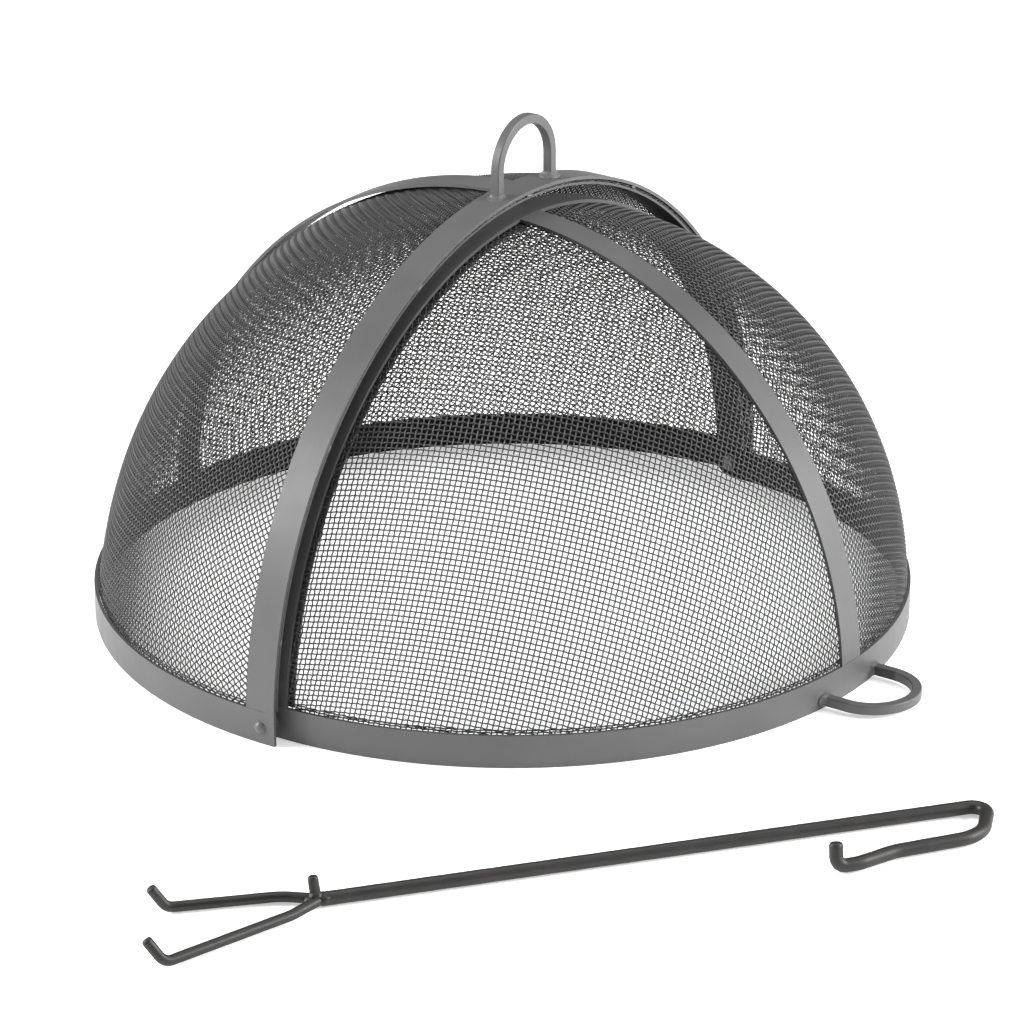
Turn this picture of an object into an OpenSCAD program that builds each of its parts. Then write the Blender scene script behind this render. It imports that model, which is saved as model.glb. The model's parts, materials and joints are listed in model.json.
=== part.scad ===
// Round fire pit spark screen: a mesh dome in two halves on a flat-bar ring.
// One half is fixed, the other is a door that swings up and over on two rivets.
// A fork-ended lifting tool lies on the ground beside it.
// Origin: centre of the ring at its bottom edge. +Z up, door towards +X, hinge along Y.

/* [Ring and dome] */
// Outside diameter of the fixed half's ring
ring_d = 812.8; // [600:1:1000]
// Width of the flat bar in every band, strap and rib
bar_w = 31.75; // [24:0.25:40]
// Thickness of the flat bar
bar_t = 3.2; // [2.4:0.1:5]
// How far the hinge line stands in front of the ring's centre
hinge_x = 5; // [0:0.5:12]

/* [Door] */
// Step from the fixed half's outer face in to the door's outer face
door_step = 18.4; // [15:0.1:30]
// How far the door's arc centre lies below the hinge line
door_drop = 4.9; // [0:0.1:8]

/* [Mesh] */
// Diameter of the mesh wire
wire_d = 1.1; // [0.8:0.1:1.6]
// How deep the mesh tucks down behind the band's top rim
hem_depth = 6; // [3:0.5:6.5]
// Thickness of the strip that clamps the mesh under an arch strap
liner_t = 2.4; // [1.6:0.1:3.2]
// How far the fixed liner's edges stand back from its strap's edges
liner_setback = 1.6; // [0.5:0.1:4]
// How far the door's liner is shifted out past its strap towards the door
door_liner_shift = 4; // [0:0.5:6]
// Number of tack welds along each arch
arch_tacks = 7; // [5:2:15]
// Number of tack welds along each band's hem
hem_tacks = 8; // [4:1:14]

/* [Pivots] */
// Diameter of the rivet's shank
rivet_d = 8; // [6:0.5:10]
// Diameter of the rivet's domed head
rivet_head_d = 12.4; // [10.5:0.1:16]
// Height of the rivet's domed head
rivet_head_h = 4; // [2.5:0.1:6]
// Outside diameter of the spacer and washer on the rivet
spacer_d = 16; // [13:0.5:18]
// Thickness of the washer inside the door band
washer_t = 2; // [1.5:0.1:3]

/* [Loops] */
// Side of the square bar in both loops
loop_bar = 9.5; // [8:0.5:12]
// Distance between the centres of a loop's two legs
loop_span = 86; // [70:1:110]
// How far a loop stands out from the face it is welded to
loop_reach = 69; // [60:1:90]
// How far the top loop is set off towards the rear pivot
lift_loop_y = 12; // [0:1:40]
// Height of the door loop's centre line above the ground
door_loop_z = 8; // [6:0.5:11]

/* [Lifting tool] */
// Diameter of the tool's shaft
shaft_d = 12.7; // [10:0.1:16]
// Diameter of the tool's two prongs and peg
prong_d = 9.5; // [8:0.1:12]
// Straight length of the shaft, from the fork to the grip's bend
shaft_l = 579; // [400:1:800]
// Radius of the grip's bend on the bar's centre line
grip_r = 27.5; // [20:0.5:40]
// Height of the hooked ends above the ground
hook_h = 30; // [20:1:45]
// Where the fork joint lies on the ground along X
tool_x = 247; // [200:1:400]
// Where the fork joint lies on the ground along Y
tool_y = -633; // [-800:1:-560]
// Direction of the shaft on the ground, in degrees from +X
tool_turn = 52.6; // [40:0.1:60]

/* [Hidden] */
$fn = 96;

ring_r = ring_d / 2;
hinge_z = bar_w / 2;
door_r = ring_r - door_step;
door_z = hinge_z - door_drop;
mesh_t = 2 * wire_d;
side_gap = 0.05;          // between a mesh sheet and the faces that hold it
run_gap = 0.3;            // between faces that slide past each other
bore_gap = 0.05;          // radial clearance of the rivet in the door band
end_gap = 0.4;            // between the door band's turning ends and the ground
hem_z = bar_w - hem_depth;
fixed_mesh_r = ring_r - bar_t - side_gap;
door_mesh_r = door_r - bar_t - side_gap;
fixed_liner_r = liner_r(fixed_mesh_r, hinge_x + bar_w / 2);
door_liner_r = liner_r(door_mesh_r, hinge_x + door_liner_shift + bar_w / 2);
fixed_mesh_edge = hinge_x + bar_w / 2 - liner_setback;
door_mesh_edge = hinge_x - bar_w / 2 + 3;
tack_l = 9;
tack_proud = 0.5;
hem_tack_h = 3;
hem_tack_t = 2;
weld_h = 3.2;
weld_r = loop_bar * 0.62 + 2.6;
corner_r = 1.2;           // rounding of the square loop bar
big = 3 * ring_r;
steel = [0.42, 0.42, 0.42];
wire_grey = [0.24, 0.24, 0.24];
black = [0.16, 0.155, 0.145];

// Outer radius of a straight liner that stays under a round mesh sheet out to x = reach
function liner_r(mesh_r, reach) = sqrt(pow(mesh_r - mesh_t, 2) - pow(reach, 2)) - side_gap;

// Cylinder along X, centred on the plane x = at
module drum(r, w, at, z) {
    translate([at - w / 2, 0, z]) rotate([0, 90, 0]) cylinder(r = r, h = w, $fn = 180);
}

// Flat bar bent over the dome in a plane of constant x, from the band's rim up
module arch(r, t, w, at, z, from_z) {
    intersection() {
        difference() {
            drum(r, w, at, z);
            drum(r - t, w + 2, at, z);
        }
        translate([at - w, -big / 2, from_z]) cube([2 * w, big, big]);
    }
}

// Flat bar bent over the dome in the plane y = 0; side is 1 for the door, -1 for the fixed half
module rib(r, z, side, from_x) {
    intersection() {
        translate([0, bar_w / 2, z]) rotate([90, 0, 0]) difference() {
            cylinder(r = r, h = bar_w, $fn = 180);
            translate([0, 0, -1]) cylinder(r = r - bar_t, h = bar_w + 2, $fn = 180);
        }
        translate([side > 0 ? from_x : from_x - big, -bar_w, bar_w]) cube([big, 2 * bar_w, big]);
    }
}

// Ring of flat bar standing on edge
module ring(r) {
    difference() {
        cylinder(r = r, h = bar_w, $fn = 180);
        translate([0, 0, -1]) cylinder(r = r - bar_t, h = bar_w + 2, $fn = 180);
    }
}

// Line of the hinge as a solid cylinder along Y
module hinge_line(r) {
    translate([hinge_x, big / 2, hinge_z]) rotate([90, 0, 0]) cylinder(r = r, h = big);
}

// One quarter of a mesh dome: side is 1 for the door; front is -1 for the -Y half
module mesh_sheet(r, z, side, front, edge) {
    intersection() {
        translate([0, 0, z]) difference() {
            sphere(r = r, $fn = 180);
            sphere(r = r - mesh_t, $fn = 180);
        }
        translate([side > 0 ? edge : edge - big, front > 0 ? 0 : -big, hem_z]) cube(big);
    }
}

// Row of short welds between an arch strap and its liner, on one edge
module tack_row(r, z, x0, x1) {
    for (i = [0 : arch_tacks - 1]) {
        a = -78 + i * 156 / (arch_tacks - 1);
        intersection() {
            translate([0, 0, z]) rotate([a, 0, 0]) translate([x0, -tack_l / 2, 0])
                cube([x1 - x0, tack_l, big]);
            difference() {
                drum(r, bar_w * 2, hinge_x, z);
                drum(r - mesh_t - 2 * side_gap, bar_w * 3, hinge_x, z);
            }
        }
    }
}

// Welds that hold the mesh's lower edge to the inside of a band
module hem_row(r, a0, a1) {
    for (i = [0 : hem_tacks - 1]) {
        a = a0 + (i + 0.5) * (a1 - a0) / hem_tacks;
        intersection() {
            rotate([0, 0, a]) translate([0, -tack_l / 2, hem_z - hem_tack_h])
                cube([big, tack_l, hem_tack_h]);
            difference() {
                cylinder(r = r, h = bar_w, $fn = 180);
                translate([0, 0, -1]) cylinder(r = r - hem_tack_t, h = bar_w + 2, $fn = 180);
            }
        }
    }
}

// Square bar with rounded corners
module bar_section() {
    s = loop_bar / 2 - corner_r;
    square([loop_bar, 2 * s], center = true);
    square([2 * s, loop_bar], center = true);
    for (x = [-s, s], y = [-s, s]) translate([x, y]) circle(r = corner_r, $fn = 24);
}

// U-shaped loop standing on z = 0 with its legs along x, reaching down to z = -sunk
module loop(sunk) {
    bend_z = loop_reach - loop_span / 2 - loop_bar / 2;
    translate([0, 0, bend_z]) rotate([90, 0, 0]) rotate_extrude(angle = 180, $fn = 96)
        translate([loop_span / 2, 0]) bar_section();
    for (x = [-1, 1]) translate([x * loop_span / 2, 0, -sunk])
        linear_extrude(bend_z + sunk) bar_section();
}

// Fillet weld around one leg of a loop, as a low cone
module loop_weld(sunk) {
    for (x = [-1, 1]) translate([x * loop_span / 2, 0, 0]) difference() {
        union() {
            cylinder(r1 = weld_r, r2 = loop_bar * 0.72, h = weld_h, $fn = 48);
            translate([0, 0, -sunk]) cylinder(r = weld_r, h = sunk, $fn = 48);
        }
        translate([0, 0, -sunk - 1]) linear_extrude(weld_h + sunk + 2) square(loop_bar, center = true);
    }
}

// Places a loop on top of the fixed arch, and cuts what would enter the strap
module on_arch() {
    difference() {
        translate([hinge_x, lift_loop_y, hinge_z + ring_r]) rotate([0, 0, 90]) children();
        drum(ring_r, bar_w * 4, hinge_x, hinge_z);
    }
}

// Places a loop on the door's band, lying flat, and cuts what would enter the band
module on_door_band() {
    difference() {
        translate([door_r, 0, door_loop_z]) rotate([0, 90, 0]) rotate([0, 0, 90]) children();
        translate([0, 0, -bar_w]) cylinder(r = door_r, h = 3 * bar_w, $fn = 180);
    }
}

// Cylinder along Y on the hinge line, between two distances from the centre; end is -1 at the front
module on_hinge(end, r, y0, y1) {
    translate([hinge_x, end > 0 ? y1 : -y0, hinge_z]) rotate([90, 0, 0]) cylinder(r = r, h = y1 - y0);
}

rivet_outer = ring_r;
spacer_outer = sqrt(pow(ring_r - bar_t, 2) - pow(hinge_x + spacer_d / 2, 2));
spacer_inner = door_r + run_gap;
washer_outer = sqrt(pow(door_r - bar_t, 2) - pow(hinge_x + spacer_d / 2, 2)) - run_gap;
washer_inner = washer_outer - washer_t;
tail_h = 2.5;

module pivot_rivet(end) {
    color(steel) {
        on_hinge(end, rivet_d / 2, washer_inner - tail_h, rivet_outer + rivet_head_h / 2);
        on_hinge(end, rivet_d / 2 + 1.5, washer_inner - tail_h, washer_inner);
        head_r = (pow(rivet_head_d / 2, 2) + pow(rivet_head_h, 2)) / (2 * rivet_head_h);
        intersection() {
            translate([hinge_x, end * (rivet_outer + rivet_head_h - head_r), hinge_z])
                sphere(r = head_r, $fn = 64);
            on_hinge(end, rivet_head_d, rivet_outer, rivet_outer + 2 * rivet_head_h);
        }
    }
}

module pivot_ring(end, y0, y1) {
    color(steel) difference() {
        on_hinge(end, spacer_d / 2, y0, y1);
        on_hinge(end, rivet_d / 2, y0 - 1, y1 + 1);
    }
}

module fixed_band() {
    color(steel) difference() {
        intersection() {
            ring(ring_r);
            translate([hinge_x + bar_w / 2 - big, -big / 2, -1]) cube(big);
        }
        hinge_line(rivet_d / 2);
    }
}

module fixed_arch_strap() {
    color(steel) arch(ring_r, bar_t, bar_w, hinge_x, hinge_z, bar_w);
}

module fixed_arch_liner() {
    color(steel) arch(fixed_liner_r, liner_t, bar_w - 2 * liner_setback, hinge_x, hinge_z, bar_w);
}

module fixed_arch_tacks() {
    color(steel) tack_row(ring_r - bar_t, hinge_z, fixed_mesh_edge + side_gap, hinge_x + bar_w / 2 + tack_proud);
}

module fixed_rib() {
    color(steel) rib(ring_r, hinge_z, -1, hinge_x - bar_w / 2);
}

module fixed_mesh_front() {
    color(wire_grey) mesh_sheet(fixed_mesh_r, hinge_z, -1, -1, fixed_mesh_edge);
}

module fixed_mesh_rear() {
    color(wire_grey) mesh_sheet(fixed_mesh_r, hinge_z, -1, 1, fixed_mesh_edge);
}

module fixed_hem_tacks() {
    color(steel) hem_row(ring_r - bar_t, 98, 262);
}

module lift_loop() {
    color(steel) on_arch() loop(8);
}

module lift_loop_welds() {
    color(steel) on_arch() loop_weld(8);
}

module door_band() {
    color(steel) difference() {
        intersection() {
            ring(door_r);
            translate([hinge_x - bar_w / 2, -big / 2, -1]) cube(big);
        }
        hinge_line(rivet_d / 2 + bore_gap);
        // the lower corner of each end is rounded about the rivet, so it clears the ground as it turns
        difference() {
            translate([hinge_x - bar_w, -big / 2, -1]) cube([bar_w, big, hinge_z + 1]);
            hinge_line(hinge_z - end_gap);
        }
    }
}

module door_arch_strap() {
    color(steel) arch(door_r, bar_t, bar_w, hinge_x, door_z, bar_w);
}

module door_arch_liner() {
    color(steel) arch(door_liner_r, liner_t, bar_w, hinge_x + door_liner_shift, door_z, bar_w);
}

module door_arch_tacks() {
    color(steel) tack_row(door_r - bar_t, door_z, hinge_x - bar_w / 2 - tack_proud, door_mesh_edge - side_gap);
}

module door_rib() {
    color(steel) rib(door_r, door_z, 1, hinge_x + bar_w / 2);
}

module door_mesh_front() {
    color(wire_grey) mesh_sheet(door_mesh_r, door_z, 1, -1, door_mesh_edge);
}

module door_mesh_rear() {
    color(wire_grey) mesh_sheet(door_mesh_r, door_z, 1, 1, door_mesh_edge);
}

module door_hem_tacks() {
    color(steel) hem_row(door_r - bar_t, -82, 82);
}

module door_handle() {
    color(steel) on_door_band() loop(8);
}

module door_handle_welds() {
    color(steel) on_door_band() intersection() {
        loop_weld(8);
        translate([-big / 2, -door_loop_z + 0.5, -big / 2]) cube(big);
    }
}

// The tool's own frame: the fork joint at the origin, the shaft along +X, the ground at z = 0
knuckle = 0.8;            // how much thicker a bent bar is at its bends and ends
shaft_z = (shaft_d + knuckle) / 2;
prong_z = (prong_d + knuckle) / 2;
fork_x = -prong_z;        // where the two prongs meet, in front of the shaft's end
left_end = [-125, 30];
right_end = [-153, -64];
hook_out = 14;            // how far a prong's hooked end leans outwards
grip_lean = 7.4;          // how far the grip's return leans away from the shaft, in degrees
grip_l = 139;             // length of that return, from the bend to the hook
collar_x = 0.3;           // where the weld around the shaft's end starts
collar_l = 5.7;
collar_t = 1;

module in_tool() {
    translate([tool_x, tool_y, 0]) rotate([0, 0, tool_turn]) children();
}

// Round bar between two points, with flat ends
module bar(a, b, d) {
    v = b - a;
    l = norm(v);
    translate(a) rotate([0, acos(v[2] / l), atan2(v[1], v[0])]) cylinder(d = d, h = l, $fn = 48);
}

// Round bar along a list of points, with a ball at every point from the first one given
module bent_bar(points, d, first_ball) {
    for (i = [0 : len(points) - 2]) bar(points[i], points[i + 1], d);
    for (i = [first_ball : len(points) - 1]) translate(points[i]) sphere(d = d + knuckle, $fn = 48);
}

module tool_shaft() {
    color(black) in_tool() {
        bar([0, 0, shaft_z], [shaft_l, 0, shaft_z], shaft_d);
        translate([shaft_l, -grip_r, shaft_z]) rotate([0, 0, -90]) rotate_extrude(angle = 180, $fn = 96)
            translate([grip_r, 0]) circle(d = shaft_d, $fn = 48);
    }
}

module tool_grip() {
    way = [cos(grip_lean), sin(grip_lean), 0];
    bend = [shaft_l, -2 * grip_r, shaft_z];
    tail = bend - grip_l * way;
    tip = [tail[0] - 2, tail[1], hook_h - shaft_d / 2 + 3];
    color(black) in_tool() difference() {
        bent_bar([bend + shaft_d * way, tail, tip], shaft_d, 1);
        translate([shaft_l, -big / 2, -big / 2]) cube(big);
    }
}

module fork_shape() {
    root = [fork_x, 0, shaft_z];
    for (end = [left_end, right_end]) {
        out = end * (1 + hook_out / norm(end));
        bent_bar([root, [end[0], end[1], prong_z], [out[0], out[1], hook_h - prong_d / 2]], prong_d, 0);
    }
}

module tool_fork() {
    color(black) in_tool() fork_shape();
}

module tool_peg() {
    color(black) in_tool() difference() {
        bent_bar([[fork_x, 0, shaft_z], [fork_x, 0, hook_h - prong_d / 2]], prong_d, 1);
        bar([0, 0, shaft_z], [shaft_l, 0, shaft_z], shaft_d);
        fork_shape();
    }
}

module tool_fork_weld() {
    color(black) in_tool() difference() {
        bar([collar_x, 0, shaft_z], [collar_x + collar_l, 0, shaft_z], shaft_d + 2 * collar_t);
        bar([-collar_l, 0, shaft_z], [2 * collar_l, 0, shaft_z], shaft_d);
        translate([-big / 2, -big / 2, -big + shaft_z - shaft_d / 2 + 0.3]) cube(big);
    }
}

fixed_band();
fixed_arch_strap();
fixed_arch_liner();
fixed_arch_tacks();
fixed_rib();
fixed_mesh_front();
fixed_mesh_rear();
fixed_hem_tacks();
lift_loop();
lift_loop_welds();
pivot_rivet(-1);  // pivot_rivet_front
pivot_rivet(1);  // pivot_rivet_rear
pivot_ring(-1, spacer_inner, spacer_outer);  // pivot_spacer_front
pivot_ring(1, spacer_inner, spacer_outer);  // pivot_spacer_rear
pivot_ring(-1, washer_inner, washer_outer);  // pivot_washer_front
pivot_ring(1, washer_inner, washer_outer);  // pivot_washer_rear
door_band();
door_arch_strap();
door_arch_liner();
door_arch_tacks();
door_rib();
door_mesh_front();
door_mesh_rear();
door_hem_tacks();
door_handle();
door_handle_welds();
tool_shaft();
tool_grip();
tool_fork();
tool_peg();
tool_fork_weld();
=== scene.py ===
"""Looks of a round spark screen: a woven wire dome in two halves on a flat-bar frame, and its lifting tool.

Metres, +Z up. The ring's centre is the origin, the door half is towards +X and the hinge line runs along Y.
"""

import json
import math
from collections import namedtuple

import bmesh
import bpy
import numpy as np
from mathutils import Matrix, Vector, noise


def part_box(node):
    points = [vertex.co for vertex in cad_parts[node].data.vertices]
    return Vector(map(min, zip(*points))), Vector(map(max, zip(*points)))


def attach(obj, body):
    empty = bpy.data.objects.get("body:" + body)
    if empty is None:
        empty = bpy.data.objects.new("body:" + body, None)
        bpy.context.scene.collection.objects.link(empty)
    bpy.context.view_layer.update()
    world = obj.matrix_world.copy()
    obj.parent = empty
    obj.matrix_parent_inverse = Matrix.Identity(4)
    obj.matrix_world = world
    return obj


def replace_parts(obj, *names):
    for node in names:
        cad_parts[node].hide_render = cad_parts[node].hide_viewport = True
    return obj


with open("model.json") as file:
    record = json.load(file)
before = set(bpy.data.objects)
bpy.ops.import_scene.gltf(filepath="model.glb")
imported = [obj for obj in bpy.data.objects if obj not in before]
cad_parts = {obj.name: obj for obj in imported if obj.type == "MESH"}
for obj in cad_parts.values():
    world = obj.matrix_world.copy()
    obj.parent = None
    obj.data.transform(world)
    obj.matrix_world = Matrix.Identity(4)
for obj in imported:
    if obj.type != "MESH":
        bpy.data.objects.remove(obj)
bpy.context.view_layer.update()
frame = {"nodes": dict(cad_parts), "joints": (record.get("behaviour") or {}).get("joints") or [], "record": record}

FIXED, DOOR, TOOL = "fixed_half", "door_half", "lifting_tool"

# Sizes of the frame, from the CAD nodes' boxes, except the flat bar's thickness
strap_low, strap_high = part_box("fixed_arch_strap")
hinge = Vector(next(j["pos_m"] for j in frame["joints"] if j["name"] == "door_hinge"))
RING_R = strap_high.z - hinge.z
BAR_W = strap_high.x - strap_low.x
DOOR_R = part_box("door_band")[1].x
DOOR_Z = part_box("door_arch_strap")[1].z - DOOR_R
BAR_T = 0.0032
FIXED_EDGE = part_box("fixed_mesh_front")[1].x
DOOR_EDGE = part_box("door_mesh_front")[0].x
HEM_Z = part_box("fixed_mesh_front")[0].z

# Weave
WIRE_R = 0.0007
PITCH = 0.0051
WIRE_SIDES = 5                    # flats round a wire, which are shaded smooth
CRIMP = 1.3 * WIRE_R              # how far a wire swings to either side of the weave's middle
PINNED_REACH = math.radians(12)   # how fast the mesh leaves the frame's sphere away from straps and hem
RIB_REACH = 0.12                  # how far from the rib the mesh still follows it, as a share of the radius
NET_REACH = 1.35                  # how far a gore's net is worked out from where it was laid, in radians
OPEN_CELL = 0.3                   # cells that shear shorter than this share of their side are left out

# Welds. Half-lengths of a tack are along the strap or band, then across, then outwards
ARCH_TACKS = 7
ARCH_TACK_SPAN = math.radians(156)
ARCH_TACK_HALF = (0.0042, 0.0015, 0.0016)
ARCH_TACK_VARY = 0.0008
ARCH_TACK_INSET = 0.0012          # from the edge of the CAD tacks to the weld's middle
HEM_TACK_SPAN = math.radians(164)
HEM_TACK_HALF = (0.0042, 0.0016, 0.0011)
HEM_TACK_INSET = 0.0042           # from the half's outer radius
HEM_TACKS = 8

# The fillet round a loop's leg, from the pool's rim up to the bar: radius and height
LOOP_FILLET = (
    (0.0106, -0.0012),
    (0.0102, 0.0004),
    (0.0084, 0.0012),
    (0.0070, 0.0022),
    (0.0061, 0.0040),
    (0.0050, 0.0050),
)
LOOP_FILLET_POINTS = 40
LOOP_FILLET_DROP = 0.0125         # room that the widest pool needs above the floor
LOOP_FILLET_CLEAR = 0.001         # how far above the floor a pool ends at least
LOOP_FILLET_SQUARE = 0.86         # how far the fillet's top follows the square bar
LOOP_FILLET_WAVE = (0.10, 0.25)   # unevenness of its radius and of its height

# The last wires of each sheet along its hem, near-black as painted shade of the gap above the band
HEM_WIRE_GAPS = (0.0009, 0.0028)  # how high they stand above the band
HEM_WIRE_STEP = 0.0006            # how much further in each one lies
HEM_WIRE_SHIFT = 1.3              # how far its waves are shifted, in radians

# sag is how far the slack mesh stands off the frame's sphere, and rib_sag the same at the rib
Half = namedtuple("Half", "name body side centre_z radius sag rib_sag edge")
HALVES = (
    Half("fixed", FIXED, -1, hinge.z, RING_R - BAR_T - 2 * WIRE_R, -0.0085, -0.0032, FIXED_EDGE),
    Half("door", DOOR, 1, DOOR_Z, DOOR_R - BAR_T - 2 * WIRE_R, 0.0028, 0.0, DOOR_EDGE),
)
# Where each gore's cloth was first laid down: degrees from the top towards the gore's own side,
# degrees out from the arch, and how far the wires there are turned from the arch's direction
GORE_LAY = {
    ("fixed", -1): (84, 34, -45),
    ("fixed", 1): (84, 34, -45),
    ("door", -1): (35, 31, -18),
    ("door", 1): (47, 35, -15),
}

# Lifting tool, in its own frame: the fork joint at the origin and the shaft along +X
TOOL_AT = Vector((0.247, -0.633, 0))
TOOL_TURN = math.radians(52.6)
SHAFT_R = 0.00635
PRONG_R = 0.00475
SHAFT_Z = 0.00675
PRONG_Z = 0.00515
HOOK_Z = 0.0255
BEND_SPACING = 0.004              # between points round a bend
BAR_SPACING = 0.006               # between points along a straight
END_ROUNDING = 0.6                # length of a bar's rounded end, as a share of its radius

# Painted shade: colour darkened and sheen dulled on faces that look towards the inside of the dome
PAINTED_SHADE_FACING = (-0.35, 0.15)       # cosine to the outward way where the painted shade is full and where it ends
PAINTED_SHADE_BEYOND = (0.002, 0.010)      # distance outside the ring's radius where it starts to end, and ends

# Studio
FLOOR_SIZE = 14
FLOOR_Z = -0.0004
WORLD_STRENGTH = 0.25
LIGHTS_AIM = Vector((0, 0, 0.15))
LIGHTS = (                        # name, place, size and power
    ("key_left", (-3.2, -2.4, 1.8), 1.8, 255),
    ("key_right", (3.6, 1.7, 1.7), 1.8, 270),
    ("top", (0.0, 0.3, 3.6), 2.6, 75),
)


# ---------------------------------------------------------------- helpers


def place_piece(mesh, material, body):
    """Shades a mesh smooth and makes it a piece that rides on a body."""
    mesh.polygons.foreach_set("use_smooth", [True] * len(mesh.polygons))
    mesh.materials.append(material)
    obj = bpy.data.objects.new(mesh.name, mesh)
    bpy.context.scene.collection.objects.link(obj)
    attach(obj, body)
    return obj


class Tubes:
    """Collects round bars or wires, each swept along its own points, into one mesh."""

    def __init__(self, sides):
        self.turn = np.arange(sides) * 2 * math.pi / sides
        self.sides = sides
        self.verts, self.faces, self.count = [], [], 0

    def add(self, points, radii, outward):
        """points (n, 3), one radius a point, and a direction a point that lies off the tube's own."""
        tangent = np.gradient(points, axis=0)
        tangent /= np.linalg.norm(tangent, axis=1)[:, None]
        normal = outward - np.sum(outward * tangent, 1)[:, None] * tangent
        normal /= np.linalg.norm(normal, axis=1)[:, None]
        side = np.cross(tangent, normal)
        cosine = np.cos(self.turn)[None, :, None]
        sine = np.sin(self.turn)[None, :, None]
        ring = cosine * normal[:, None] + sine * side[:, None]
        verts = points[:, None] + np.asarray(radii)[:, None, None] * ring
        n = len(points)
        start = self.count + np.arange(n - 1)[:, None] * self.sides
        here = start + np.arange(self.sides)
        after = start + (np.arange(self.sides) + 1) % self.sides
        quads = np.stack([here, after, after + self.sides, here + self.sides], -1)
        self.verts.append(verts.reshape(-1, 3))
        self.faces.extend(quads.reshape(-1, 4).tolist())
        first = self.count + np.arange(self.sides)
        self.faces.append(first[::-1].tolist())
        self.faces.append((first + (n - 1) * self.sides).tolist())
        self.count += n * self.sides

    def build(self, name, material, body, slot):
        mesh = bpy.data.meshes.new(name)
        mesh.from_pydata(np.concatenate(self.verts).tolist(), [], self.faces)
        mesh.update()
        return place_piece(mesh, material, body)


# ---------------------------------------------------------------- materials


class Shader:
    """A Principled material, with short calls for the nodes that its colour and bump come from."""

    def __init__(self, name, roughness, metallic=0.0, specular=0.5):
        self.material = bpy.data.materials.new(name)
        self.material.use_nodes = True
        self.tree = self.material.node_tree
        self.main = self.tree.nodes["Principled BSDF"]
        self.main.inputs["Roughness"].default_value = roughness
        self.main.inputs["Metallic"].default_value = metallic
        self.main.inputs["Specular IOR Level"].default_value = specular
        self.place = self.tree.nodes.new("ShaderNodeTexCoord").outputs["Object"]

    def link(self, a, b):
        self.tree.links.new(a, b)

    def noise(self, scale, detail=2.0, rough=0.5):
        node = self.tree.nodes.new("ShaderNodeTexNoise")
        node.inputs["Scale"].default_value = scale
        node.inputs["Detail"].default_value = detail
        node.inputs["Roughness"].default_value = rough
        self.link(self.place, node.inputs["Vector"])
        return node.outputs["Fac"]

    def ramp(self, value, stops):
        node = self.tree.nodes.new("ShaderNodeValToRGB")
        elements = node.color_ramp.elements
        while len(elements) < len(stops):
            elements.new(0.5)
        for element, (position, colour) in zip(elements, stops):
            element.position = position
            element.color = (*colour, 1)
        self.link(value, node.inputs["Fac"])
        return node.outputs["Color"]

    def colour(self, value, stops):
        self.link(self.ramp(value, stops), self.main.inputs["Base Color"])

    def painted_shade_colour(self, value, stops, painted_shade_level):
        """Colour of a surface with painted shade: darkened and dulled, to a share, where it faces inwards."""
        outward = self.tree.nodes.new("ShaderNodeVectorMath")
        outward.operation = "NORMALIZE"
        self.link(self.place, outward.inputs[0])
        facing = self.tree.nodes.new("ShaderNodeVectorMath")
        facing.operation = "DOT_PRODUCT"
        self.link(outward.outputs["Vector"], facing.inputs[0])
        self.link(self.tree.nodes["Texture Coordinate"].outputs["Normal"], facing.inputs[1])
        share = self.tree.nodes.new("ShaderNodeMapRange")
        share.inputs["From Min"].default_value = PAINTED_SHADE_FACING[0]
        share.inputs["From Max"].default_value = PAINTED_SHADE_FACING[1]
        share.inputs["To Min"].default_value = painted_shade_level
        self.link(facing.outputs["Value"], share.inputs["Value"])
        reach = self.tree.nodes.new("ShaderNodeVectorMath")
        reach.operation = "LENGTH"
        self.link(self.place, reach.inputs[0])
        outside = self.tree.nodes.new("ShaderNodeMapRange")
        outside.inputs["From Min"].default_value = RING_R + PAINTED_SHADE_BEYOND[0]
        outside.inputs["From Max"].default_value = RING_R + PAINTED_SHADE_BEYOND[1]
        self.link(reach.outputs["Value"], outside.inputs["Value"])
        unshaded_share = self.tree.nodes.new("ShaderNodeMath")
        unshaded_share.operation = "MAXIMUM"
        self.link(share.outputs["Result"], unshaded_share.inputs[0])
        self.link(outside.outputs["Result"], unshaded_share.inputs[1])
        dimmed = self.tree.nodes.new("ShaderNodeVectorMath")
        dimmed.operation = "SCALE"
        self.link(self.ramp(value, stops), dimmed.inputs[0])
        self.link(unshaded_share.outputs["Value"], dimmed.inputs["Scale"])
        self.link(dimmed.outputs["Vector"], self.main.inputs["Base Color"])
        # The painted shade dulls the specular sheen as well
        sheen = self.tree.nodes.new("ShaderNodeMath")
        sheen.operation = "MULTIPLY"
        sheen.inputs[1].default_value = self.main.inputs["Specular IOR Level"].default_value
        self.link(unshaded_share.outputs["Value"], sheen.inputs[0])
        self.link(sheen.outputs["Value"], self.main.inputs["Specular IOR Level"])

    def roughness(self, value, low, high):
        node = self.tree.nodes.new("ShaderNodeMapRange")
        node.inputs["To Min"].default_value = low
        node.inputs["To Max"].default_value = high
        self.link(value, node.inputs["Value"])
        self.link(node.outputs["Result"], self.main.inputs["Roughness"])

    def bump(self, value, distance, strength=1.0, under=None):
        node = self.tree.nodes.new("ShaderNodeBump")
        node.inputs["Distance"].default_value = distance
        node.inputs["Strength"].default_value = strength
        self.link(value, node.inputs["Height"])
        if under:
            self.link(under, node.inputs["Normal"])
        self.link(node.outputs["Normal"], self.main.inputs["Normal"])
        return node.outputs["Normal"]


def grey(value):
    return (value, value, value)


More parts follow.
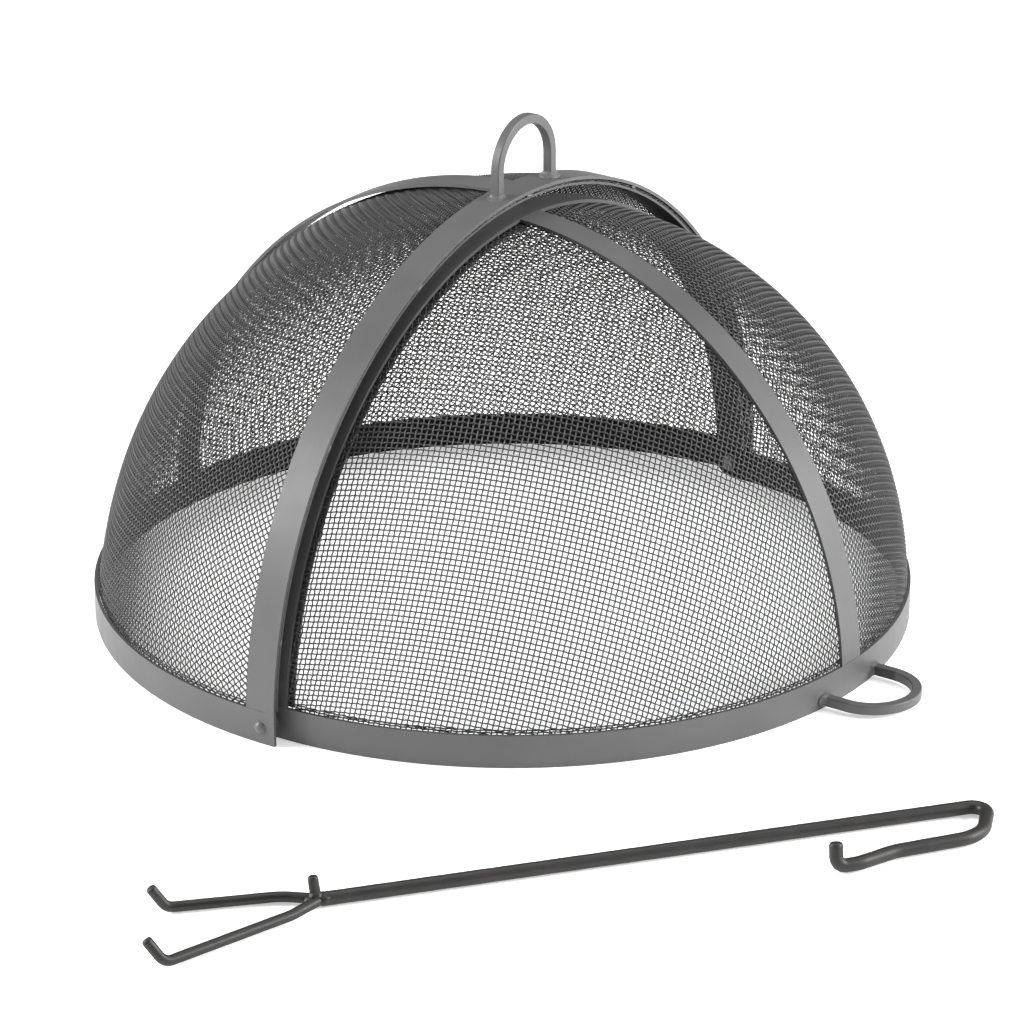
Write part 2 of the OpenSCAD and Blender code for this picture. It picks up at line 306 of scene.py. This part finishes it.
def powder_coat():
    s = Shader("powder_coat", 0.45, specular=0.5)
    # Painted shade darkens the faces that look into the dome
    s.painted_shade_colour(s.noise(9, 4), [(0.3, grey(0.076)), (0.7, grey(0.098))], painted_shade_level=0.12)
    s.roughness(s.noise(60, 3), 0.38, 0.52)
    peel = s.bump(s.noise(1100, 1), 0.00006, 0.6)
    s.bump(s.noise(160, 2), 0.00012, 0.35, under=peel)
    return s.material


def weld_coat():
    s = Shader("weld", 0.45)
    s.colour(s.noise(200, 3), [(0.3, grey(0.085)), (0.7, grey(0.13))])
    s.bump(s.noise(700, 3), 0.0003, 0.6)
    return s.material


def rivet_coat():
    s = Shader("rivet_steel", 0.4)
    s.colour(s.noise(150, 3), [(0.3, grey(0.095)), (0.7, grey(0.13))])
    s.bump(s.noise(900, 2), 0.00008, 0.5)
    return s.material


def wire_coat():
    s = Shader("wire_mesh", 0.42, specular=0.5)
    # Painted shade darkens the wires' faces that look into the dome
    s.painted_shade_colour(s.noise(25, 4), [(0.3, grey(0.042)), (0.7, grey(0.060))], painted_shade_level=0.10)
    s.bump(s.noise(1500, 1), 0.00004, 0.5)
    return s.material


# Near-black wire for the sheets' edges: painted shade of the shadowed gaps along the arch and the hem
def painted_shade_wire():
    s = Shader("wire_edge", 0.5)
    s.colour(s.noise(60, 3), [(0.3, grey(0.010)), (0.7, grey(0.020))])
    s.bump(s.noise(1500, 1), 0.00004, 0.5)
    return s.material


def forged_black():
    s = Shader("forged_black", 0.5)
    dark, middle, brown = (0.006, 0.006, 0.005), (0.010, 0.0095, 0.008), (0.018, 0.0155, 0.012)
    s.colour(s.noise(45, 5, 0.65), [(0.3, dark), (0.55, middle), (0.75, brown)])
    s.roughness(s.noise(120, 3), 0.42, 0.62)
    scale = s.bump(s.noise(90, 3), 0.0005, 0.5)
    s.bump(s.noise(800, 2), 0.0001, 0.6, under=scale)
    return s.material


def floor_white():
    s = Shader("floor", 0.9, specular=0.2)
    s.colour(s.noise(2, 2), [(0.3, grey(0.90)), (0.7, grey(0.91))])
    s.main.inputs["Emission Color"].default_value = (1, 1, 1, 1)
    s.main.inputs["Emission Strength"].default_value = 0.45
    return s.material


MATERIALS = {
    "powder_coat": powder_coat(),
    "weld": weld_coat(),
    "rivet_steel": rivet_coat(),
    "wire_mesh": wire_coat(),
    "wire_edge": painted_shade_wire(),
    "forged_black": forged_black(),
}


def finish_cad_nodes():
    """Gives every CAD node its finish, and rounds the sheared edges of the flat bars."""
    slots = {row["node"]: row["material_slot"] for row in frame["record"]["subparts"]}
    for name, obj in frame["nodes"].items():
        obj.data.materials.clear()
        obj.data.materials.append(MATERIALS[slots[name]])
        if name.endswith(("band", "strap", "liner", "rib")):
            bevel = obj.modifiers.new("edges", "BEVEL")
            bevel.width = 0.0005
            bevel.segments = 2
            bevel.limit_method = "ANGLE"
            bevel.angle_limit = math.radians(40)
            bevel.use_clamp_overlap = True


# ---------------------------------------------------------------- woven wire


def net_quadrant(pole, along, across, step, count):
    """A quarter of a net of equal-sided cells on the unit sphere, from two great circles at the pole."""
    turn = np.arange(count + 1) * step
    net = np.full((count + 1, count + 1, 3), np.nan)
    net[:, 0] = np.outer(np.cos(turn), pole) + np.outer(np.sin(turn), along)
    net[0, :] = np.outer(np.cos(turn), pole) + np.outer(np.sin(turn), across)
    for diagonal in range(2, 2 * count + 1):
        i = np.arange(max(1, diagonal - count), min(count, diagonal - 1) + 1)
        j = diagonal - i
        near, a, b = net[i - 1, j - 1], net[i - 1, j], net[i, j - 1]
        mirror = np.cross(a, b)
        length = np.linalg.norm(mirror, axis=1)
        open_cell = length > OPEN_CELL * step
        mirror /= np.where(open_cell, length, 1)[:, None]
        far = near - 2 * np.sum(near * mirror, 1)[:, None] * mirror
        far[~open_cell] = np.nan
        net[i, j] = far
    return net


def wire_net(half, front):
    """The whole net of one gore, as directions from the dome's centre: (along, across, xyz)."""
    down, out, turned = (math.radians(a) for a in GORE_LAY[half.name, front])
    pole = np.array(
        [half.side * math.sin(out), front * math.cos(out) * math.sin(down), math.cos(out) * math.cos(down)]
    )
    arch_way = np.array([0, front * math.cos(down), -math.sin(down)])
    out_way = np.cross(pole, arch_way) * front * half.side
    along = math.cos(turned) * arch_way + math.sin(turned) * out_way
    across = -math.sin(turned) * arch_way + math.cos(turned) * out_way
    step = PITCH / half.radius
    count = math.ceil(NET_REACH / step)
    net = np.full((2 * count + 1, 2 * count + 1, 3), np.nan)
    for a in (1, -1):
        for b in (1, -1):
            rows = count + a * np.arange(count + 1)
            columns = count + b * np.arange(count + 1)
            net[np.ix_(rows, columns)] = net_quadrant(pole, a * along, b * across, step, count)
    return net


def mesh_radius(direction, half):
    """Distance from the dome's centre to the weave's middle: held at the straps and hem, slack between."""
    off_arch = np.arcsin(np.clip(half.side * direction[..., 0], 0, 1))
    off_hem = np.arcsin(np.clip(direction[..., 2], 0, 1))
    free = (1 - np.exp(-off_arch / PINNED_REACH)) * (1 - np.exp(-off_hem / PINNED_REACH))
    at_rib = np.exp(-(direction[..., 1] / RIB_REACH) ** 2)
    return half.radius + free * (half.sag + (half.rib_sag - half.sag) * at_rib)


def on_dome(direction, lift, half):
    place = direction * (mesh_radius(direction, half) + lift)[..., None]
    place[..., 2] += half.centre_z
    return place


def inside_gore(place, half, front):
    """How far a point is inside the gore's edges, negative outside."""
    from_arch = half.side * (place[..., 0] - half.edge)
    return np.minimum(np.minimum(from_arch, front * place[..., 1]), place[..., 2] - HEM_Z)


def crimped_wires(net, half, front, over):
    """Two bundles of tubes, the even and the odd wires of the family that runs along the net's first index.

    over is 1 for the family that goes over the first crossing, and -1 for the other.
    """
    rows, columns = net.shape[:2]
    crossing = over * (-1.0) ** (np.arange(rows)[:, None] + np.arange(columns)[None, :])
    middle = net[:-1] + net[1:]
    middle /= np.linalg.norm(middle, axis=-1)[..., None]
    direction = np.empty((2 * rows - 1, columns, 3))
    direction[0::2], direction[1::2] = net, middle
    lift = np.zeros((2 * rows - 1, columns))
    lift[0::2] = crossing * CRIMP
    place = on_dome(direction, lift, half)
    depth = inside_gore(place, half, front)
    kept = depth >= 0
    bundles = Tubes(WIRE_SIDES), Tubes(WIRE_SIDES)
    for k in range(columns):
        edges = np.flatnonzero(np.diff(np.concatenate([[0], kept[:, k].astype(int), [0]])))
        for start, stop in zip(edges[0::2], edges[1::2]):
            if stop - start < 3:
                continue
            points = [place[start:stop, k]]
            if start > 0 and np.isfinite(depth[start - 1, k]):
                share = depth[start, k] / (depth[start, k] - depth[start - 1, k])
                cut = place[start, k] + share * (place[start - 1, k] - place[start, k])
                points.insert(0, cut[None])
            if stop < len(kept) and np.isfinite(depth[stop, k]):
                share = depth[stop - 1, k] / (depth[stop - 1, k] - depth[stop, k])
                cut = place[stop - 1, k] + share * (place[stop, k] - place[stop - 1, k])
                points.append(cut[None])
            run = np.concatenate(points)
            apart = np.linalg.norm(np.diff(run, axis=0), axis=1) > WIRE_R
            run = run[np.concatenate([[True], apart])]
            outward = run - np.array([0, 0, half.centre_z])
            outward /= np.linalg.norm(outward, axis=1)[:, None]
            bundles[k % 2].add(run, np.full(len(run), WIRE_R), outward)
    return bundles


def weave():
    for half in HALVES:
        for front, side_name in ((-1, "front"), (1, "rear")):
            net = wire_net(half, front)
            warp = crimped_wires(net, half, front, 1)
            weft = crimped_wires(net.transpose(1, 0, 2), half, front, -1)
            for family, bundles in (("warp", warp), ("weft", weft)):
                for parity, tubes in zip(("even", "odd"), bundles):
                    name = f"{half.name}_{side_name}_{family}_{parity}"
                    piece = tubes.build(name, MATERIALS["wire_mesh"], half.body, "wire_mesh")
                    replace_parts(piece, f"{half.name}_mesh_{side_name}")


def arch_edge_wire(tubes, half):
    """Adds the last wire along a sheet's arch edge, from the band over the top to the band."""
    turn = np.arange(0, math.pi, PITCH / 2 / half.radius)
    height = np.sin(turn) * half.radius + half.centre_z
    turn = turn[height > BAR_W]
    radius = half.radius + WIRE_R * np.cos(np.arange(len(turn)) * math.pi / 2)
    x = np.full(len(turn), half.edge + half.side * WIRE_R)
    points = np.stack([x, radius * np.cos(turn), radius * np.sin(turn) + half.centre_z], 1)
    outward = np.stack([np.zeros(len(turn)), np.cos(turn), np.sin(turn)], 1)
    tubes.add(points, np.full(len(turn), WIRE_R), outward)


def hem_wire(tubes, half, row, gap):
    """Adds one of the last wires along a sheet's hem, gap above the band's rim."""
    lift = BAR_W + gap - half.centre_z
    rim_r = math.sqrt(half.radius**2 - lift**2)
    reach = math.pi / 2 - math.asin(half.side * half.edge / rim_r)
    turn = np.arange(-reach, reach, PITCH / 2 / rim_r)
    wave = np.cos(np.arange(len(turn)) * math.pi / 2 + HEM_WIRE_SHIFT * row)
    radius = rim_r - HEM_WIRE_STEP * row + WIRE_R * wave
    outward = np.stack([half.side * np.cos(turn), np.sin(turn), np.zeros(len(turn))], 1)
    points = outward * radius[:, None]
    points[:, 2] = half.centre_z + lift
    tubes.add(points, np.full(len(turn), WIRE_R), outward)


def edge_wires():
    for half in HALVES:
        tubes = Tubes(WIRE_SIDES)
        arch_edge_wire(tubes, half)
        for row, gap in enumerate(HEM_WIRE_GAPS):
            hem_wire(tubes, half, row, gap)
        # The edge wires are near-black, as painted shade of the gaps at the arch and the hem
        tubes.build(f"{half.name}_edge_wires", MATERIALS["wire_edge"], half.body, "wire_mesh")


# ---------------------------------------------------------------- welds


class Lumps:
    """Collects weld lumps: rounded heaps with an uneven skin, joined into one mesh."""

    def __init__(self):
        self.bm = bmesh.new()

    def add(self, centre, axes, seed):
        """axes are the heap's three half-lengths as vectors."""
        made = bmesh.ops.create_icosphere(self.bm, subdivisions=3, radius=1)
        a, b, c = axes
        for v in made["verts"]:
            p = v.co.copy()
            broad = 0.16 * noise.noise(p * 2.1 + Vector((seed, 0, 0)))
            fine = 0.06 * noise.noise(p * 6 + Vector((0, seed, 0)))
            v.co = centre + (a * p.x + b * p.y + c * p.z) * (1 + broad + fine)

    def build(self, name, body, node, slot="weld"):
        mesh = bpy.data.meshes.new(name)
        self.bm.to_mesh(mesh)
        self.bm.free()
        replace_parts(place_piece(mesh, MATERIALS[slot], body), node)


def arch_welds():
    for half in HALVES:
        low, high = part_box(f"{half.name}_arch_tacks")
        x = high.x - ARCH_TACK_INSET if half.side < 0 else low.x + ARCH_TACK_INSET
        length, width, height = ARCH_TACK_HALF
        lumps = Lumps()
        for k in range(ARCH_TACKS):
            turn = -ARCH_TACK_SPAN / 2 + k * ARCH_TACK_SPAN / (ARCH_TACKS - 1)
            out = Vector((0, -math.sin(turn), math.cos(turn)))
            along = Vector((0, math.cos(turn), math.sin(turn)))
            centre = Vector((x, 0, half.centre_z)) + out * half.radius
            reach = length + ARCH_TACK_VARY * math.sin(5 * k)
            axes = (Vector((width, 0, 0)), along * reach, out * height)
            lumps.add(centre, axes, k + 10 * half.side)
        lumps.build(f"{half.name}_arch_welds", half.body, f"{half.name}_arch_tacks")


def hem_welds():
    for half in HALVES:
        low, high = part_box(f"{half.name}_hem_tacks")
        radius = (RING_R if half.side < 0 else DOOR_R) - HEM_TACK_INSET
        length, width, height = HEM_TACK_HALF
        lumps = Lumps()
        for k in range(HEM_TACKS):
            turn = -HEM_TACK_SPAN / 2 + (k + 0.5) * HEM_TACK_SPAN / HEM_TACKS
            out = Vector((half.side * math.cos(turn), math.sin(turn), 0))
            along = Vector((-math.sin(turn), half.side * math.cos(turn), 0))
            centre = out * radius + Vector((0, 0, (low.z + high.z) / 2))
            axes = (along * length, out * height, Vector((0, 0, width)))
            lumps.add(centre, axes, k + 30 * half.side)
        lumps.build(f"{half.name}_hem_welds", half.body, f"{half.name}_hem_tacks")


def loop_fillets(name, body, node, foot, gap, up, seed):
    """An uneven fillet weld round each leg of a loop. The legs are a gap apart along Y, about the foot."""
    leg_way = Vector((0, 1, 0))
    other = up.cross(leg_way)
    bm = bmesh.new()
    above_floor = min(1.0, (foot.z - LOOP_FILLET_CLEAR) / LOOP_FILLET_DROP)
    wide, tall = LOOP_FILLET_WAVE
    for side in (-1, 1):
        centre = foot + leg_way * side * gap / 2
        rings = []
        for k, (radius, height) in enumerate(LOOP_FILLET):
            ring = []
            for n in range(LOOP_FILLET_POINTS):
                turn = 2 * math.pi * n / LOOP_FILLET_POINTS
                way = Vector((math.cos(turn), math.sin(turn), 0))
                square = 1 / max(abs(way.x), abs(way.y))
                blend = k / (len(LOOP_FILLET) - 1)
                shape = 1 + blend * (LOOP_FILLET_SQUARE * square - 1)
                bead = 1 + wide * noise.noise(way * 1.7 + Vector((seed + side, k * 0.4, 0)))
                r = radius * shape * bead
                r_other = r * (1 - (1 - above_floor) * (1 - blend))
                h = height * (1 + tall * noise.noise(way * 1.3 + Vector((seed, side, 3))))
                ring.append(bm.verts.new(centre + leg_way * r * way.x + other * r_other * way.y + up * h))
            rings.append(ring)
        for low, high in zip(rings, rings[1:]):
            for n in range(LOOP_FILLET_POINTS):
                m = (n + 1) % LOOP_FILLET_POINTS
                bm.faces.new((low[n], low[m], high[m], high[n]))
        bm.faces.new(rings[0][::-1])
        bm.faces.new(rings[-1])
    mesh = bpy.data.meshes.new(name)
    bm.to_mesh(mesh)
    bm.free()
    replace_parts(place_piece(mesh, MATERIALS["weld"], body), node)


def loop_welds():
    low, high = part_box("lift_loop")
    bar = high.x - low.x
    gap = high.y - low.y - bar
    middle = (high.y + low.y) / 2
    foot = Vector((hinge.x, middle, hinge.z + math.sqrt(RING_R**2 - (gap / 2) ** 2)))
    loop_fillets("lift_loop_fillets", FIXED, "lift_loop_welds", foot, gap, Vector((0, 0, 1)), 3)
    low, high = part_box("door_handle")
    foot = Vector((math.sqrt(DOOR_R**2 - (gap / 2) ** 2), 0, (low.z + high.z) / 2))
    loop_fillets("door_handle_fillets", DOOR, "door_handle_welds", foot, gap, Vector((1, 0, 0)), 7)


# ---------------------------------------------------------------- lifting tool


def rounded_path(points, radii):
    """Points along straight stretches joined by circular bends, with one bend radius an inner point."""
    corners = [Vector(p) for p in points]
    path = [corners[0]]
    for before, corner, after, radius in zip(corners, corners[1:], corners[2:], radii):
        a = (before - corner).normalized()
        b = (after - corner).normalized()
        half_angle = a.angle(b) / 2
        back = radius / math.tan(half_angle)
        centre = corner + (a + b).normalized() * radius / math.sin(half_angle)
        start, stop = corner + a * back - centre, corner + b * back - centre
        swing = start.angle(stop)
        steps = max(3, math.ceil(swing * radius / BEND_SPACING))
        for k in range(steps + 1):
            share = k / steps
            arm = start * math.sin((1 - share) * swing) + stop * math.sin(share * swing)
            path.append(centre + arm / math.sin(swing))
    path.append(corners[-1])
    return path


def round_bar(tubes, path, radius):
    """Sweeps a round bar with softly rounded ends along a path given in the tool's frame."""
    dense = [path[0]]
    for a, b in zip(path, path[1:]):
        steps = max(1, math.ceil((b - a).length / BAR_SPACING))
        dense.extend(a.lerp(b, k / steps) for k in range(1, steps + 1))
    cosine, sine = math.cos(TOOL_TURN), math.sin(TOOL_TURN)
    turn = np.array([[cosine, -sine, 0], [sine, cosine, 0], [0, 0, 1]])
    points = np.array([list(p) for p in dense])
    length = np.concatenate([[0], np.cumsum(np.linalg.norm(np.diff(points, axis=0), axis=1))])
    ends = np.minimum(length, length[-1] - length)

    # Rings crowd together over the rounded ends
    soft = END_ROUNDING * radius
    ease = np.array([0.12, 0.35, 0.65, 1.0]) * soft
    near_ends = np.concatenate([ease, length[-1] - ease])
    stations = np.unique(np.concatenate([length[(ends > soft) | (ends == 0)], near_ends]))
    points = np.stack([np.interp(stations, length, points[:, k]) for k in range(3)], 1)
    ends = np.minimum(stations, stations[-1] - stations)
    cap = np.clip(ends / soft, 0, 1)
    radii = radius * (0.55 + 0.45 * np.sqrt(1 - (1 - cap) ** 2))

    # Hand-forged bar is a hair uneven along its length
    radii *= 1 + 0.012 * np.sin(stations * 210) * np.sin(stations * 67 + 1)
    points = points @ turn.T + np.array(TOOL_AT)
    tangent = np.gradient(points, axis=0)
    tangent /= np.linalg.norm(tangent, axis=1)[:, None]
    outward = np.zeros_like(points)
    outward[0] = (0, 0, 1) if abs(tangent[0, 2]) < 0.9 else (1, 0, 0)
    for k in range(1, len(points)):
        outward[k] = outward[k - 1] - np.dot(outward[k - 1], tangent[k]) * tangent[k]
        outward[k] /= np.linalg.norm(outward[k])
    tubes.add(points, radii, outward)


def tool_bar():
    """The shaft, its end bend and the return to the hooked tip, all one bar."""
    tubes = Tubes(20)
    shaft = [(-0.002, 0), (0.614, 0)]
    back = [(0.5845, -0.0560), (0.500, -0.0615), (0.462, -0.0735), (0.4405, -0.0745)]
    tip = (0.4415, -0.0700, HOOK_Z + 0.003)
    path = [(x, y, SHAFT_Z) for x, y in shaft + back] + [tip]
    round_bar(tubes, rounded_path(path, [0.0125, 0.038, 0.05, 0.04, 0.009]), SHAFT_R)
    piece = tubes.build("tool_bar", MATERIALS["forged_black"], TOOL, "forged_black")
    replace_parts(piece, "tool_shaft", "tool_grip")


def tool_prongs():
    tubes = Tubes(18)
    upper = [(-0.001, 0.0010), (-0.030, 0.0185), (-0.1280, 0.0275), (-0.1415, 0.0285)]
    lower = [(-0.001, -0.0010), (-0.030, -0.0180), (-0.1530, -0.0690), (-0.1670, -0.0620)]
    for route in (upper, lower):
        heights = (SHAFT_Z, PRONG_Z, PRONG_Z, HOOK_Z)
        path = [(x, y, z) for (x, y), z in zip(route, heights)]
        round_bar(tubes, rounded_path(path, [0.045, 0.011]), PRONG_R)
    piece = tubes.build("tool_fork_prongs", MATERIALS["forged_black"], TOOL, "forged_black")
    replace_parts(piece, "tool_fork")


def tool_peg():
    tubes = Tubes(18)
    round_bar(tubes, [Vector((-0.0035, 0.001, SHAFT_Z)), Vector((-0.0060, 0.003, HOOK_Z + 0.003))], PRONG_R)
    piece = tubes.build("tool_peg_pin", MATERIALS["forged_black"], TOOL, "forged_black")
    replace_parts(piece, "tool_peg")


def tool_weld():
    """Three lumps where the fork, the peg and the shaft meet."""
    weld = Lumps()
    turn = Vector((math.cos(TOOL_TURN), math.sin(TOOL_TURN), 0))
    across = Vector((-turn.y, turn.x, 0))

    # Place along the shaft, height of the middle, half-length and half-height of each lump
    spots = (
        (0.002, 0.0072, 0.0090, 0.0056),
        (-0.007, 0.0066, 0.0080, 0.0050),
        (-0.004, 0.0095, 0.0068, 0.0062),
    )
    for k, (x, z, size, height) in enumerate(spots):
        centre = TOOL_AT + turn * x + Vector((0, 0, z))
        weld.add(centre, (turn * size, across * size * 0.8, Vector((0, 0, height))), 50 + k)
    weld.build("tool_fork_fillets", TOOL, "tool_fork_weld", "forged_black")


# ---------------------------------------------------------------- studio


def studio():
    bpy.ops.mesh.primitive_plane_add(size=FLOOR_SIZE, location=(0, 0, FLOOR_Z))
    floor = bpy.context.object
    floor.name = "floor"
    floor.data.materials.append(floor_white())
    world = bpy.data.worlds.new("studio")
    world.use_nodes = True
    world.node_tree.nodes["Background"].inputs["Color"].default_value = (1, 1, 1, 1)
    world.node_tree.nodes["Background"].inputs["Strength"].default_value = WORLD_STRENGTH
    bpy.context.scene.world = world
    for name, place, size, power in LIGHTS:
        light = bpy.data.lights.new(name, "AREA")
        light.size = size
        light.energy = power
        lamp = bpy.data.objects.new(name, light)
        lamp.location = place
        lamp.rotation_euler = (LIGHTS_AIM - Vector(place)).to_track_quat("-Z", "Y").to_euler()
        bpy.context.scene.collection.objects.link(lamp)
    bpy.context.scene.view_settings.view_transform = "Standard"


def camera():
    distance, elevation, azimuth = 4.661, math.radians(22.57), math.radians(35.19)
    target = Vector((0, 0, 0.0894))
    flat = Vector((math.sin(azimuth), -math.cos(azimuth), 0)) * math.cos(elevation)
    back = flat + Vector((0, 0, math.sin(elevation)))
    data = bpy.data.cameras.new("camera")
    data.lens = 168.7
    data.sensor_width = 36
    data.clip_end = 50
    obj = bpy.data.objects.new("camera", data)
    obj.location = target + back * distance
    obj.rotation_euler = (-back).to_track_quat("-Z", "Y").to_euler()
    bpy.context.scene.collection.objects.link(obj)
    bpy.context.scene.camera = obj


camera()
studio()
finish_cad_nodes()
weave()
edge_wires()
arch_welds()
hem_welds()
loop_welds()
tool_bar()
tool_prongs()
tool_peg()
tool_weld()
